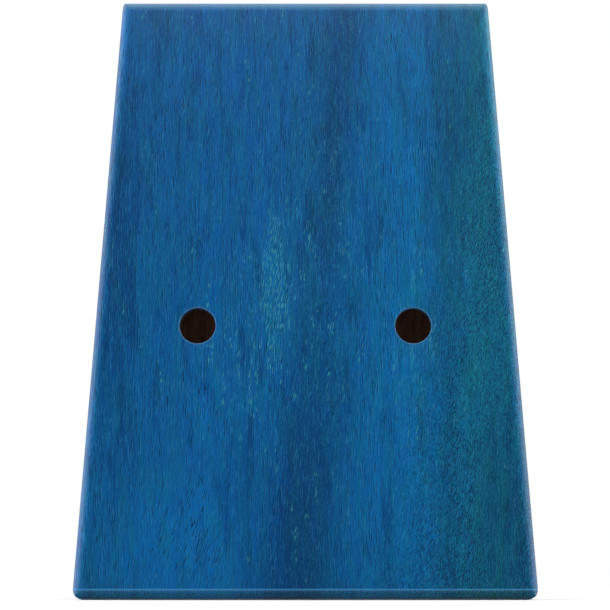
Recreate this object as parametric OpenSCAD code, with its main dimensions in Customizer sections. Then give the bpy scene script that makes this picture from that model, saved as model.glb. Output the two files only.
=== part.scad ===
// Hollow-box thumb piano with seventeen sprung tines.
// It stands on its foot, with the origin at the centre of the foot and +Z up to the head.
// -Y is the back with the two tone holes, and +Y is the playing side with the tines.
// Left and right are the player's, so +X is to the left. Sizes are millimetres and
// angles are degrees.

/* [Case] */
// Length of the case from foot to head
case_length = 185; // [170:1:200]
// Width across the foot
foot_width = 136.5; // [132:0.5:145]
// Width across the head
head_width = 115.5; // [112:0.5:125]
// Depth of the case from back to soundboard
case_depth = 32; // [30:1:36]
// Radius of the two corners at the foot
foot_corner_r = 3.5; // [1:0.5:8]
// Radius of the two corners at the head
head_corner_r = 2.5; // [1:0.5:8]
// Thickness of the back and of the soundboard
panel_t = 3; // [3:0.5:4]
// Radius rounded along the outer edges of both panels
edge_r = 3; // [1:0.5:3]
// Thickness of the four rails
rail_t = 10; // [6:1:12]

/* [Holes] */
// Diameter of the two tone holes in the back
tone_hole_d = 10.8; // [8:0.2:14]
// Distance between the centres of the tone holes
tone_hole_spacing = 65; // [50:1:80]
// Height of the tone holes above the foot
tone_hole_z = 81; // [60:1:100]
// Diameter of the sound hole in the soundboard
sound_hole_d = 28; // [20:1:32]
// Height of the sound hole above the foot
sound_hole_z = 44; // [36:1:50]

/* [Bridge] */
// Height of the pressure bar above the foot
bar_z = 140; // [134:1:146]
// Diameter of the pressure bar
bar_d = 5.5; // [5:0.5:6]
// Diameter of the two saddle rods
saddle_d = 4; // [3:0.5:4.5]
// Distance from the pressure bar to each saddle, along the tines
saddle_offset = 9; // [8:0.5:10]
// Length of the bridge base
bridge_length = 112; // [112:1:114]
// Length of the pressure bar and of the saddle rods
rod_length = 110; // [109:1:111]
// Half the width of the bridge base, along the tines
bridge_reach = 13.5; // [13:0.5:15]
// Diameter of the clamp screws
screw_d = 2.9; // [2.5:0.1:3]
// Diameter of the clamp screws' heads
screw_head_d = 5.6; // [5.2:0.2:6]

/* [Tines] */
// Width of each tine
tine_w = 4.2; // [4:0.1:4.2]
// Thickness of each tine
tine_t = 1; // [0.8:0.1:1.2]
// Spacing of neighbouring tines
tine_pitch = 6; // [6:0.05:6.1]
// Extra space where a clamp screw passes between two tines
screw_space = 1.6; // [1.6:0.1:1.8]
// Height of the tines above the soundboard, under the pressure bar
tine_lift = 9.5; // [9:0.5:11]
// Slope of the tines away from the soundboard
tine_slope = 4; // [2:0.5:5]
// Sounding length of the longest tine
longest_reed = 62; // [56:1:64]
// Length of the curled tip
tip_length = 8; // [6:1:10]
// Radius of the tip's curl
tip_curl_r = 24; // [20:1:40]

/* [Hidden] */
$fn = 64;
TINES = 17;
// Semitones of the seventeen notes above the lowest, which is on the middle tine
SEMITONES = [0, 2, 4, 5, 7, 9, 11, 12, 14, 16, 17, 19, 21, 23, 24, 26, 28];
// Gaps from the middle, counted outwards, that a clamp screw passes through
SCREW_GAPS = [3, 7];
// Free space between a tine and the rods that hold it
hold_gap = 0.12;
// Free space between a tine's held tail and its sounding reed
root_gap = 0.1;

half_depth = case_depth / 2;
half_foot = foot_width / 2;
half_head = head_width / 2;
side_lean = atan((half_foot - half_head) / case_length);
side_length = case_length / cos(side_lean);
rail_depth = case_depth - 2 * panel_t;

bar_r = bar_d / 2;
saddle_r = saddle_d / 2;
tine_y = half_depth + tine_lift;
bar_rise = tine_t + hold_gap + bar_r;
saddle_drop = hold_gap + saddle_r;
clamp_z = bar_z + bar_rise * sin(tine_slope);
bar_y = tine_y + bar_rise * cos(tine_slope);
head_seat_y = bar_y + 0.7 * bar_r;
bridge_chamfer = 1;
screw_head_t = 2.2;
socket_r = 1.45;
socket_depth = 1.4;
screw_tip_y = half_depth - panel_t - 11;
insert_r = 2.4;
insert_length = 7;
block_w = 22;
block_t = 14;

function tine_name(i, piece) = str("tine_", i < 10 ? "0" : "", i, "_", piece);

// Half the case's width at height z, less what lies within t of the slanted side
function half_width(z, t = 0) = half_foot - z * tan(side_lean) - t / cos(side_lean);

// Tine i counts from 1 at the left. Its place counts from the middle tine, and is
// negative to the left.
function place(i) = i - (TINES + 1) / 2;

// How many clamp screws stand between the middle and the tine n places out
function screws_passed(n) = len([for (g = SCREW_GAPS) if (n >= g) g]);

function tine_x(i) =
    -place(i) * tine_pitch - sign(place(i)) * screws_passed(abs(place(i))) * screw_space;

// Middle of the gap before the tine n places out
function gap_x(n) = (n - 0.5) * tine_pitch + (screws_passed(n) - 0.5) * screw_space;

// The scale climbs by turns to the left and right of the middle tine
function note(i) = place(i) > 0 ? 2 * place(i) : max(0, -2 * place(i) - 1);

// A reed's pitch falls with the square of its length
function reed_length(i) = longest_reed * pow(2, -SEMITONES[note(i)] / 24);

// The tail stands out past the rear saddle, more on a longer tine
function tail_length(i) = 2 * saddle_offset + 3 + 0.12 * reed_length(i);

// ---------- shared shapes ----------

// Puts a flat shape drawn in X and Z between two depths along Y
module across_depth(y_back, y_front) {
    translate([0, y_front, 0]) rotate([90, 0, 0]) linear_extrude(y_front - y_back) children();
}

// Draws a flat shape, given in Y and Z, as a bar along X
module along_x(length) {
    translate([-length / 2, 0, 0]) rotate([90, 0, 90]) linear_extrude(length) children();
}

module rounded_rectangle(width, height, r) {
    translate([r, 0]) square([width - 2 * r, height]);
    translate([0, r]) square([width, height - 2 * r]);
    for (x = [r, width - r]) for (y = [r, height - r]) translate([x, y]) circle(r);
}

// Centres of the round corners at +X, and where a corner's arc meets the slanted side
function foot_corner() = [half_width(foot_corner_r, foot_corner_r), foot_corner_r];
function head_corner() =
    let (z = case_length - head_corner_r) [half_width(z, head_corner_r), z];
function side_point(corner, r) = corner + r * [cos(side_lean), sin(side_lean)];
function mirrored(p) = [-p.x, p.y];

// The case seen square on: a tapered shape with four round corners
module case_outline() {
    foot = foot_corner();
    head = head_corner();
    right = [
        [foot.x, 0],
        side_point(foot, foot_corner_r),
        side_point(head, head_corner_r),
        [head.x, case_length]
    ];
    left = [for (i = [3:-1:0]) mirrored(right[i])];
    polygon(concat(right, left));
    for (p = [foot, mirrored(foot)]) translate(p) circle(foot_corner_r);
    for (p = [head, mirrored(head)]) translate(p) circle(head_corner_r);
}

// A bar along one slanted side, wide enough to hold the whole case, with rounded edges.
// The wanted side is at +X for side 1 and at -X for side -1.
module leaning_block(side) {
    translate([side * half_foot, 0, 0]) rotate([0, -side * side_lean, 0])
        translate([side > 0 ? -1.5 * foot_width : 0, -half_depth, -20])
            linear_extrude(side_length + 40) rounded_rectangle(1.5 * foot_width, case_depth, edge_r);
}

// A panel's blank: the outline between two depths, with its outer edges rounded
module panel_blank(y_back, y_front) {
    intersection() {
        across_depth(y_back, y_front) case_outline();
        along_x(2 * foot_width) translate([-half_depth, 0])
            rounded_rectangle(case_depth, case_length, edge_r);
        leaning_block(1);
        leaning_block(-1);
    }
}

// A round hole along Y at a place in X and Z
module hole_along_y(x, z, r, y_back, y_front) {
    translate([x, y_back, z]) rotate([-90, 0, 0]) cylinder(r = r, h = y_front - y_back);
}

// Repeats a shape at the four clamp screws
module at_screws() {
    for (g = SCREW_GAPS) for (side = [-1, 1]) translate([side * gap_x(g), 0, clamp_z]) children();
}

// The tines' own frame: +Y out of the soundboard, -Z towards the tips, with its
// origin on the underside of the tines below the pressure bar
module tine_frame() {
    translate([0, tine_y, bar_z]) rotate([tine_slope, 0, 0]) children();
}

module rod(r, length) {
    rotate([0, 90, 0]) cylinder(r = r, h = length, center = true);
}

// ---------- case ----------

module back_panel() {
    color("#1d5f91")
    difference() {
        panel_blank(-half_depth, -half_depth + panel_t);
        for (side = [-1, 1])
            hole_along_y(side * tone_hole_spacing / 2, tone_hole_z, tone_hole_d / 2,
                         -half_depth - 1, -half_depth + panel_t + 1);
    }
}

module soundboard() {
    color("#1f6396")
    difference() {
        panel_blank(half_depth - panel_t, half_depth);
        hole_along_y(0, sound_hole_z, sound_hole_d / 2, half_depth - panel_t - 1, half_depth + 1);
        at_screws() hole_along_y(0, 0, screw_d / 2 + 0.2, half_depth - panel_t - 1, half_depth + 1);
    }
}

// A side rail runs the whole length and carries the corners
module side_rail(side) {
    across_depth(-rail_depth / 2, rail_depth / 2) intersection() {
        case_outline();
        polygon([
            [side * half_width(-1, rail_t), -1],
            [side * (half_foot + 1), -1],
            [side * (half_foot + 1), case_length + 1],
            [side * half_width(case_length + 1, rail_t), case_length + 1]
        ]);
    }
}

module side_rail_left() { color("#1a5585") side_rail(1); }
module side_rail_right() { color("#1a5585") side_rail(-1); }

// An end rail fits between the side rails
module end_rail(z) {
    across_depth(-rail_depth / 2, rail_depth / 2) polygon([
        [-half_width(z, rail_t), z],
        [half_width(z, rail_t), z],
        [half_width(z + rail_t, rail_t), z + rail_t],
        [-half_width(z + rail_t, rail_t), z + rail_t]
    ]);
}

module head_rail() { color("#1a5585") end_rail(case_length - rail_t); }
module foot_rail() { color("#1a5585") end_rail(0); }

// The hardwood block under the soundboard that takes the clamp screws
module clamp_block() {
    front = half_depth - panel_t;
    length = 2 * (half_width(clamp_z + block_w / 2, rail_t) - 0.5);
    color("#8a5a36")
    difference() {
        translate([-length / 2, front - block_t, clamp_z - block_w / 2]) cube([length, block_t, block_w]);
        at_screws() hole_along_y(0, 0, insert_r, front - insert_length, front + 1);
        at_screws() hole_along_y(0, 0, screw_d / 2 + 0.15, front - block_t - 1, front);
    }
}

// ---------- bridge ----------

// Depth and height of the base's sloping top, z above the pressure bar
function base_top(z) = [tine_y - saddle_drop / cos(tine_slope) - z * tan(tine_slope), bar_z + z];

// The wooden base: its top follows the tines' slope and half buries the saddle rods
module bridge_base() {
    reach = bridge_reach;
    color("#4a2f20")
    difference() {
        along_x(bridge_length) polygon([
            [half_depth, bar_z - reach],
            [half_depth, bar_z + reach],
            base_top(reach) - [bridge_chamfer, 0],
            base_top(reach - bridge_chamfer),
            base_top(bridge_chamfer - reach),
            base_top(-reach) - [bridge_chamfer, 0]
        ]);
        for (z = [-saddle_offset, saddle_offset])
            tine_frame() translate([0, -saddle_drop, z]) rod(saddle_r, bridge_length + 2);
        at_screws() hole_along_y(0, 0, screw_d / 2 + 0.2, half_depth - 1, tine_y);
    }
}

module saddle(z) {
    color("#c9ccd0") tine_frame() translate([0, -saddle_drop, z]) rod(saddle_r, rod_length);
}

module front_saddle() { saddle(-saddle_offset); }
module rear_saddle() { saddle(saddle_offset); }

// The round bar that holds the tines down, spot-faced for the screw heads
module pressure_bar() {
    color("#b9bdc2")
    difference() {
        translate([0, bar_y, clamp_z]) rod(bar_r, rod_length);
        at_screws() hole_along_y(0, 0, screw_d / 2 + 0.1, bar_y - bar_r - 1, bar_y + bar_r + 1);
        at_screws() hole_along_y(0, 0, screw_head_d / 2 + 0.2, head_seat_y, bar_y + bar_r + 1);
    }
}

module clamp_screws() {
    color("#a8a9ab")
    at_screws() difference() {
        union() {
            hole_along_y(0, 0, screw_d / 2, screw_tip_y, head_seat_y + 1);
            hole_along_y(0, 0, screw_head_d / 2, head_seat_y, head_seat_y + screw_head_t);
        }
        // hexagon socket
        translate([0, head_seat_y + screw_head_t - socket_depth, 0])
            rotate([-90, 0, 0]) cylinder(r = socket_r, h = socket_depth + 1, $fn = 6);
    }
}

module clamp_inserts() {
    front = half_depth - panel_t;
    color("#c8a14a")
    at_screws() difference() {
        hole_along_y(0, 0, insert_r, front - insert_length, front);
        hole_along_y(0, 0, screw_d / 2 + 0.05, front - insert_length - 1, front + 1);
    }
}

// ---------- tines ----------

// A tine's plan, with a round end at its tip, from z_low up to z_high
module tine_plan(z_low, z_high) {
    translate([-tine_w / 2, z_low + tine_w / 2]) square([tine_w, z_high - z_low - tine_w / 2]);
    translate([0, z_low + tine_w / 2]) circle(tine_w / 2);
}

// A reed's side view: a straight strip whose end curls away from the soundboard
module reed_side(z_low, z_high) {
    translate([0, z_low + tip_length]) square([tine_t, z_high - z_low - tip_length]);
    intersection() {
        translate([tip_curl_r, z_low + tip_length]) difference() {
            circle(tip_curl_r, $fn = 180);
            circle(tip_curl_r - tine_t, $fn = 180);
        }
        translate([-1, z_low]) square([tip_curl_r, tip_length]);
    }
}

// The sounding part, from the front saddle to the tip
module reed(i) {
    z_high = -saddle_offset - root_gap / 2;
    z_low = -saddle_offset - reed_length(i);
    color("#cfd2d6") translate([tine_x(i), 0, 0]) tine_frame() intersection() {
        along_x(tine_w) reed_side(z_low, z_high);
        across_depth(-1, tip_curl_r) tine_plan(z_low, z_high);
    }
}

// The held part, from the front saddle to the square end behind the rear saddle
module tail(i) {
    z_low = -saddle_offset + root_gap / 2;
    color("#c2c5ca") translate([tine_x(i), 0, 0]) tine_frame()
        translate([-tine_w / 2, 0, z_low]) cube([tine_w, tine_t, tail_length(i)]);
}

// ---------- nodes ----------

back_panel();
side_rail_left();
side_rail_right();
head_rail();
foot_rail();
soundboard();
clamp_block();
bridge_base();
front_saddle();
rear_saddle();
pressure_bar();
clamp_screws();
clamp_inserts();
for (i = [1:TINES]) reed(i);
for (i = [1:TINES]) tail(i);
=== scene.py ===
"""Looks of a hollow-box mbira with seventeen tines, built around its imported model.

The case stands on its foot. -Y is the back, +Y the playing side, +Z the head, and +X the
player's left. Shapes are worked out in millimetres and become metres as they enter a mesh.
"""

import math

import bmesh
import bpy
import numpy as np
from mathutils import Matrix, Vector


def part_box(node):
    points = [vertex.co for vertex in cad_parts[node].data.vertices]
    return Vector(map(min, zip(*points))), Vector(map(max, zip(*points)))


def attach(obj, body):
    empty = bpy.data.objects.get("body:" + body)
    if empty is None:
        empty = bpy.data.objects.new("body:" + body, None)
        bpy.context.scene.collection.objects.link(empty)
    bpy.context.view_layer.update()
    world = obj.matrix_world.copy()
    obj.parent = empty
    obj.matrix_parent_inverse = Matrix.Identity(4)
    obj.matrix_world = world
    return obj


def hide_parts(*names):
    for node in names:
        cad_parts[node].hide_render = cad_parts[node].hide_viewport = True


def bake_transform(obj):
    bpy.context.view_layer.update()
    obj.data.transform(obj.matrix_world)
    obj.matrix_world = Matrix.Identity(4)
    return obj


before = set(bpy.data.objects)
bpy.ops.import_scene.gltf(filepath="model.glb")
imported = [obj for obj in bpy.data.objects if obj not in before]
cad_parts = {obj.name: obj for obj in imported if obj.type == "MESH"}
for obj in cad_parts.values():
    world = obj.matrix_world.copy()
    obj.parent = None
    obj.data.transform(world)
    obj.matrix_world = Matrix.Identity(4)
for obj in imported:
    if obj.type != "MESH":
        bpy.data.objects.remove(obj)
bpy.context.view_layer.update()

MM = 0.001
QUARTER = math.pi / 2


def box_mm(node):
    """A node's lowest and highest corners, in millimetres."""
    low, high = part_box(node)
    return np.array(low) / MM, np.array(high) / MM


# ---- sizes, in millimetres ----

back_low, back_high = box_mm("back_panel")
board_low, board_high = box_mm("soundboard")
foot_high = box_mm("foot_rail")[1]
head_high = box_mm("head_rail")[1]
base_low, base_high = box_mm("bridge_base")
bar_low, bar_high = box_mm("pressure_bar")
front_low, front_high = box_mm("front_saddle")
rear_low, rear_high = box_mm("rear_saddle")
screws_low, screws_high = box_mm("clamp_screws")

CASE_LENGTH = back_high[2]
RAIL = foot_high[2]
PANEL = back_high[1] - back_low[1]
SIDE_SLOPE = (foot_high[0] - head_high[0]) / (CASE_LENGTH - RAIL)
SIDE_LEAN = math.atan(SIDE_SLOPE)
HALF_FOOT = foot_high[0] + RAIL / math.cos(SIDE_LEAN)
FOOT_CORNER = 3.5
HEAD_CORNER = 2.5
EDGE_ROUND = 3.0
SEAM = 0.07
HOLE_LIP = 0.35
TONE_HOLE_RADIUS = 5.4
TONE_HOLE_OFFSET = 32.5
TONE_HOLE_HEIGHT = 81.0
SOUND_HOLE_RADIUS = 14.0
SOUND_HOLE_HEIGHT = 44.0

BAR_RADIUS = (bar_high[2] - bar_low[2]) / 2
BAR_CENTRE = (bar_low + bar_high) / 2
BAR_END_EASE = 0.5
SADDLE_RADIUS = (front_high[2] - front_low[2]) / 2
SADDLE_END_EASE = 0.45
FRONT_SADDLE = (front_low + front_high) / 2
REAR_SADDLE = (rear_low + rear_high) / 2
SADDLE_RISE = FRONT_SADDLE[1] - REAR_SADDLE[1]
SADDLE_SPAN = REAR_SADDLE[2] - FRONT_SADDLE[2]
FRONT_SADDLE_DOWN = math.hypot(SADDLE_RISE, SADDLE_SPAN) / 2
GROOVE_PLAY = 0.03
BASE_EASE = 1.0
BASE_END_EASE = 1.2

TINE_SLOPE = math.atan2(SADDLE_RISE, SADDLE_SPAN)
HOLD_GAP = 0.12
TINE_THICKNESS = 1.0
TINE_LIFT = BAR_RADIUS + HOLD_GAP + TINE_THICKNESS
TINE_HALF_WIDTH = 2.1
TINE_RIM = 0.28
TAIL_CORNER = 0.5
TIP_LENGTH = 8.0
TIP_CURL = 24.0
TINE_COUNT = 17
CORNER_POINTS = 5

SCREW_PLACES = (-41.4, -15.8, 15.8, 41.4)
SCREW_RADIUS = 1.45
SCREW_HEAD_RADIUS = 2.8
SCREW_HEAD_DEPTH = 2.2
SCREW_HEAD_EASE = 0.35
SCREW_UNDER_EASE = 0.1
SCREW_TIP_EASE = 0.6
SCREW_SEAT = screws_high[1] - SCREW_HEAD_DEPTH
THREAD_PITCH = 0.5
THREAD_DEPTH = 0.12
THREAD_FROM_TIP = 0.8
THREAD_FROM_SEAT = 0.4
SPOT_FACE_RADIUS = 3.0
BESIDE_SCREW = 4.0
SOCKET_RADIUS = 1.45
SOCKET_DEPTH = 1.4
SOCKET_RIM = 0.18
SOCKET_RIM_DEPTH = 0.14
DRILL_DEPTH = 0.3

OUTLINE_STEP = 1.6
END_RAIL_STEP = 3.0
SAME_PLACE = 1e-4
MERGE_METRES = 2e-6
SLIVER_METRES = 1e-6
EASE_TURN = np.linspace(0.0, QUARTER, 7)
LONG_TURN = np.linspace(0.0, QUARTER, 15)


# ---- from grids to meshes ----


def grid_faces(rows, columns, first=0):
    """The faces of a grid: (i, j) joins points (i, j), (i + 1, j), (i + 1, j + 1), (i, j + 1)."""
    index = first + np.arange(rows * columns).reshape(rows, columns)
    corners = (index[:-1, :-1], index[1:, :-1], index[1:, 1:], index[:-1, 1:])
    return np.stack(corners, axis=-1).reshape(-1, 4)


def place_object(name, data):
    """A new object with this data, in the scene, at the origin."""
    thing = bpy.data.objects.new(name, data)
    bpy.context.scene.collection.objects.link(thing)
    return thing


def make_piece(name, body, replaced, patches, finishes, sharp=35.0, blend=None):
    """A closed mesh from patches, each a grid of points (rows, columns, 3) and a finish's number.

    Points shared by patches are merged, and the faces are then turned outwards.
    """
    points, quads, numbers = [], [], []
    count = 0
    for grid, number in patches:
        rows, columns = grid.shape[:2]
        quads.append(grid_faces(rows, columns, count))
        numbers.append(np.full(len(quads[-1]), number))
        points.append(grid.reshape(-1, 3))
        count += rows * columns
    mesh = bpy.data.meshes.new(name)
    mesh.from_pydata(np.concatenate(points) * MM, [], np.concatenate(quads))
    mesh.polygons.foreach_set("material_index", np.concatenate(numbers))
    work = bmesh.new()
    work.from_mesh(mesh)
    bmesh.ops.remove_doubles(work, verts=work.verts, dist=MERGE_METRES)
    bmesh.ops.dissolve_degenerate(work, edges=work.edges, dist=SLIVER_METRES)
    bmesh.ops.recalc_face_normals(work, faces=work.faces)
    work.to_mesh(mesh)
    work.free()
    mesh.shade_smooth()
    mesh.set_sharp_from_angle(angle=math.radians(sharp))
    for finish in finishes:
        mesh.materials.append(finish)
    piece = place_object(name, mesh)
    if blend:
        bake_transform(piece)
    else:
        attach(piece, body)
    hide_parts(*replaced)
    return piece


def ruled(first, last, steps):
    """Straight lines from first to last, two rows of points: first + (last - first) * t."""
    t = np.linspace(0.0, 1.0, steps + 1)[:, None, None]
    return first[None] + (last - first)[None] * t


def slab(outer, inner, outside=0, inside=1):
    """A solid between two sheets of points (rows, columns, 3) that meet at both end columns.

    Its surface is the two sheets and a ruled cap at the first and the last row.
    """
    caps = [ruled(outer[row], inner[row], 2) for row in (0, -1)]
    return [(outer, outside), (inner, inside), (caps[0], inside), (caps[1], inside)]


def turned(axial, radial, angles, place):
    """A profile turned about an axis along +Y through place = (x, y, z).

    Point (i, j) = place + (radial sin a, axial, radial cos a). radial may be a column of
    the profile or a grid that also varies with the angle, as in a hexagonal socket.
    """
    radial = np.broadcast_to(radial, (len(axial), len(angles)))
    grid = np.empty(radial.shape + (3,))
    grid[..., 0] = place[0] + radial * np.sin(angles)
    grid[..., 1] = place[1] + axial[:, None]
    grid[..., 2] = place[2] + radial * np.cos(angles)
    return grid


# ---- the case's outline ----


def half_width(z, inset=0.0):
    """Half the case's width at height z, less what lies within inset of the leaning side."""
    return HALF_FOOT - z * SIDE_SLOPE - inset / math.cos(SIDE_LEAN)


def along(start, end, gap):
    """Places from start to end at even steps no longer than gap, both ends included."""
    steps = max(1, math.ceil(np.hypot(*(np.subtract(end, start))) / gap))
    return np.linspace(start, end, steps + 1)


def side_outline(foot_x, head_x):
    """The outline at +X from foot_x on the foot to head_x on the head, as places and normals.

    It is a straight foot, an arc centre + r (cos a, sin a) at the foot corner, the leaning
    side, the same arc at the head corner, and a straight head. A place is (x, z).
    """
    foot = np.array([half_width(FOOT_CORNER, FOOT_CORNER), FOOT_CORNER])
    head_z = CASE_LENGTH - HEAD_CORNER
    head = np.array([half_width(head_z, HEAD_CORNER), head_z])
    foot_turn = np.linspace(-QUARTER, SIDE_LEAN, 25)
    head_turn = np.linspace(SIDE_LEAN, QUARTER, 21)
    foot_normals = np.stack([np.cos(foot_turn), np.sin(foot_turn)], axis=1)
    head_normals = np.stack([np.cos(head_turn), np.sin(head_turn)], axis=1)
    foot_arc = foot + FOOT_CORNER * foot_normals
    head_arc = head + HEAD_CORNER * head_normals
    foot_line = along((foot_x, 0.0), foot_arc[0], OUTLINE_STEP)[:-1]
    side_line = along(foot_arc[-1], head_arc[0], OUTLINE_STEP)[1:-1]
    head_line = along(head_arc[-1], (head_x, CASE_LENGTH), OUTLINE_STEP)[1:]
    places = np.concatenate([foot_line, foot_arc, side_line, head_arc, head_line])
    normals = np.concatenate([
        np.tile([0.0, -1.0], (len(foot_line), 1)),
        foot_normals,
        np.tile([math.cos(SIDE_LEAN), math.sin(SIDE_LEAN)], (len(side_line), 1)),
        head_normals,
        np.tile([0.0, 1.0], (len(head_line), 1)),
    ])
    return places, normals


def mirrored(places):
    """The same places at -X."""
    return places * [-1.0, 1.0]


def drawn_in(places, inset):
    """Places (x, z) held within inset of the outline: z between inset and length - inset,
    and |x| up to half_width(z, inset). Where two edges meet, they meet in a mitre."""
    z = np.clip(places[:, 1], inset, CASE_LENGTH - inset)
    limit = half_width(z, inset)
    return np.stack([np.clip(places[:, 0], -limit, limit), z], axis=1)


def at_depth(places, y):
    """Places (x, z) put at depth y, or at a depth for each."""
    depth = np.broadcast_to(y, places.shape[:-1])
    return np.stack([places[..., 0], depth, places[..., 1]], axis=-1)


def hole_rim(centre, rim):
    """Unit directions from a hole's centre to each place of the loop around it."""
    away = rim - centre
    return away / np.linalg.norm(away, axis=1, keepdims=True)


def panel_patches(face_y, back_y, halves, holes, radius):
    """A rounded panel whose outer face is at face_y and whose glued face is at back_y.

    halves is a list of (places, normals, closing line), one for each hole. Every face is
    ruled from the hole's circle to the loop around it: a place is c + (p - c) t. The outer
    edge is a quarter round, drawn in by r (1 - sin a) at a depth of (r - seam) (1 - cos a)
    below the face. The hole has a small quarter-round lip and a straight wall.
    """
    inward = math.copysign(1.0, back_y - face_y)
    insets = EDGE_ROUND * (1 - np.sin(LONG_TURN))
    depths = np.append((EDGE_ROUND - SEAM) * (1 - np.cos(LONG_TURN)), PANEL)
    wall = np.linspace(HOLE_LIP, PANEL, 6)[1:]
    radii = np.append(radius + HOLE_LIP * (1 - np.sin(EASE_TURN)), np.full(len(wall), radius))
    falls = np.append(HOLE_LIP * (1 - np.cos(EASE_TURN)), wall)
    stained = len(EASE_TURN) + 1
    patches = []
    for (places, normals, closing), centre in zip(halves, holes):
        top = drawn_in(places, EDGE_ROUND)
        eased = places - SEAM * normals
        bottom = eased
        if closing:
            close = along(top[-1], top[0], OUTLINE_STEP)[1:]
            top = np.concatenate([top, close])
            low = ruled(eased[-1:], eased[:1], len(close))[1:, 0]
            bottom = np.concatenate([eased, low])
        rays = hole_rim(centre, top)
        face = ruled(at_depth(centre + rays * radii[0], face_y), at_depth(top, face_y), 8)
        glued = ruled(at_depth(centre + rays * radius, back_y), at_depth(bottom, back_y), 4)
        edge = np.stack([drawn_in(places, inset) for inset in insets] + [eased])
        rolled = at_depth(edge, (face_y + inward * depths)[:, None])
        circle = centre + rays[None] * radii[:, None, None]
        bore = at_depth(circle, (face_y + inward * falls)[:, None])
        lip, bare = bore[:stained], bore[stained - 1:]
        patches += [(face, 0), (rolled, 0), (lip, 0), (bare, 1), (glued, 2)]
    return patches


def closed_outline():
    """The whole outline as one loop, from the middle of the foot and round by +X."""
    places, normals = side_outline(0.0, 0.0)
    places = np.concatenate([places, mirrored(places)[-2::-1]])
    normals = np.concatenate([normals, mirrored(normals)[-2::-1]])
    return places, normals


# ---- finishes ----


def paint(red, green, blue):
    """A colour given as 0 to 255 on a screen, as the linear colour a shader takes."""
    shown = np.array([red, green, blue]) / 255
    linear = np.where(shown > 0.04045, ((shown + 0.055) / 1.055) ** 2.4, shown / 12.92)
    return (*linear.tolist(), 1.0)


class Value:
    """A number that varies over a surface: an expression on values adds its Math nodes."""

    def __init__(self, finish, socket):
        self.finish = finish
        self.socket = socket

    def __add__(self, other):
        return self.finish.maths("ADD", self, other)

    def __sub__(self, other):
        return self.finish.maths("SUBTRACT", self, other)

    def __rsub__(self, other):
        return self.finish.maths("SUBTRACT", other, self)

    def __mul__(self, other):
        return self.finish.maths("MULTIPLY", self, other)

    def __truediv__(self, other):
        return self.finish.maths("DIVIDE", self, other)

    def __rtruediv__(self, other):
        return self.finish.maths("DIVIDE", other, self)

    def __abs__(self):
        return self.finish.maths("ABSOLUTE", self)

    __radd__ = __add__
    __rmul__ = __mul__


class Nodes:
    """The nodes of one material or surround."""

    def __init__(self, owner):
        owner.use_nodes = True
        self.tree = owner.node_tree
        self.tree.nodes.clear()

    def node(self, kind, settings=None, inputs=None, output=0):
        """Any node: its settings and ramp stops first, then its sockets' values or links."""
        node = self.tree.nodes.new("ShaderNode" + kind)
        for name, setting in (settings or {}).items():
            if name == "stops":
                elements = node.color_ramp.elements
                for position, colour in setting[1:-1]:
                    elements.new(position)
                for element, (position, colour) in zip(elements, setting):
                    element.position = position
                    element.color = colour
            elif name == "blending":
                node.color_ramp.interpolation = setting
            else:
                setattr(node, name, setting)
        for name, value in (inputs or {}).items():
            if isinstance(value, Value):
                self.tree.links.new(value.socket, node.inputs[name])
            else:
                node.inputs[name].default_value = value
        return None if output is None else Value(self, node.outputs[output])

    def maths(self, operation, *values):
        """One Math node."""
        return self.node("Math", {"operation": operation}, dict(enumerate(values)))

    def most(self, first, second):
        """The larger of two values."""
        return self.maths("MAXIMUM", first, second)

    def noise(self, place, size, detail=2.0, roughness=0.5):
        """Smooth noise, mostly 0.3 to 0.7, whose grains are as long as size along X, Y, Z."""
        parts = {axis: part / length for axis, (part, length) in enumerate(zip(place, size))}
        scaled = self.node("CombineXYZ", inputs=parts)
        sizes = {"Vector": scaled, "Scale": 1.0, "Detail": detail, "Roughness": roughness}
        return self.node("TexNoise", inputs=sizes)

    def rise(self, value, start, end, low=0.0, high=1.0):
        """Low before start, high after end, and a smooth step between them."""
        ends = {"From Min": start, "From Max": end, "To Min": low, "To Max": high}
        return self.node("MapRange", {"interpolation_type": "SMOOTHSTEP"}, {"Value": value, **ends})

    def hump(self, value, centre, reach):
        """1 at the centre, falling smoothly to 0 at reach on both sides."""
        return self.rise(abs(value - centre), 0.0, reach, 1.0, 0.0)

    def patch(self, x, z, centre, reach):
        """1 in the middle of a soft ellipse, 0 outside it."""
        across = (x - centre[0]) / reach[0]
        up = (z - centre[1]) / reach[1]
        return self.rise(across * across + up * up, 0.0, 1.0, 1.0, 0.0)

    def mix(self, factor, first, second, way="MIX"):
        """A colour between two colours."""
        settings = {"data_type": "RGBA", "blend_type": way, "clamp_factor": True}
        return self.node("Mix", settings, {0: factor, 6: first, 7: second}, output=2)

    def tinted(self, colour, tint):
        """A colour multiplied by a tint."""
        return self.mix(1.0, colour, tint, "MULTIPLY")

    def ramp(self, value, stops, blending="EASE"):
        """A colour for each value, from stops of (value, colour)."""
        return self.node("ValToRGB", {"blending": blending, "stops": stops}, {0: value})

    def bump(self, height, depth):
        """Relief from a height of 0 to 1 that stands for depth millimetres."""
        sizes = {"Height": height, "Distance": depth * MM, "Strength": 1.0}
        return self.node("Bump", inputs=sizes)


class Finish(Nodes):
    """A material on object coordinates, in millimetres."""

    def __init__(self, name):
        self.material = bpy.data.materials.new(name)
        super().__init__(self.material)
        place = self.node("TexCoord", output="Object")
        scaled = self.node("VectorMath", {"operation": "SCALE"}, {0: place, "Scale": 1 / MM})
        self.place = [self.node("SeparateXYZ", inputs={0: scaled}, output=axis) for axis in "XYZ"]

    def surface(self, **sockets):
        """The shader and its output. Socket names are given with _ for a space."""
        named = {name.replace("_", " "): value for name, value in sockets.items()}
        shader = self.node("BsdfPrincipled", inputs=named)
        self.node("OutputMaterial", inputs={0: shader}, output=None)
        return self.material


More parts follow.
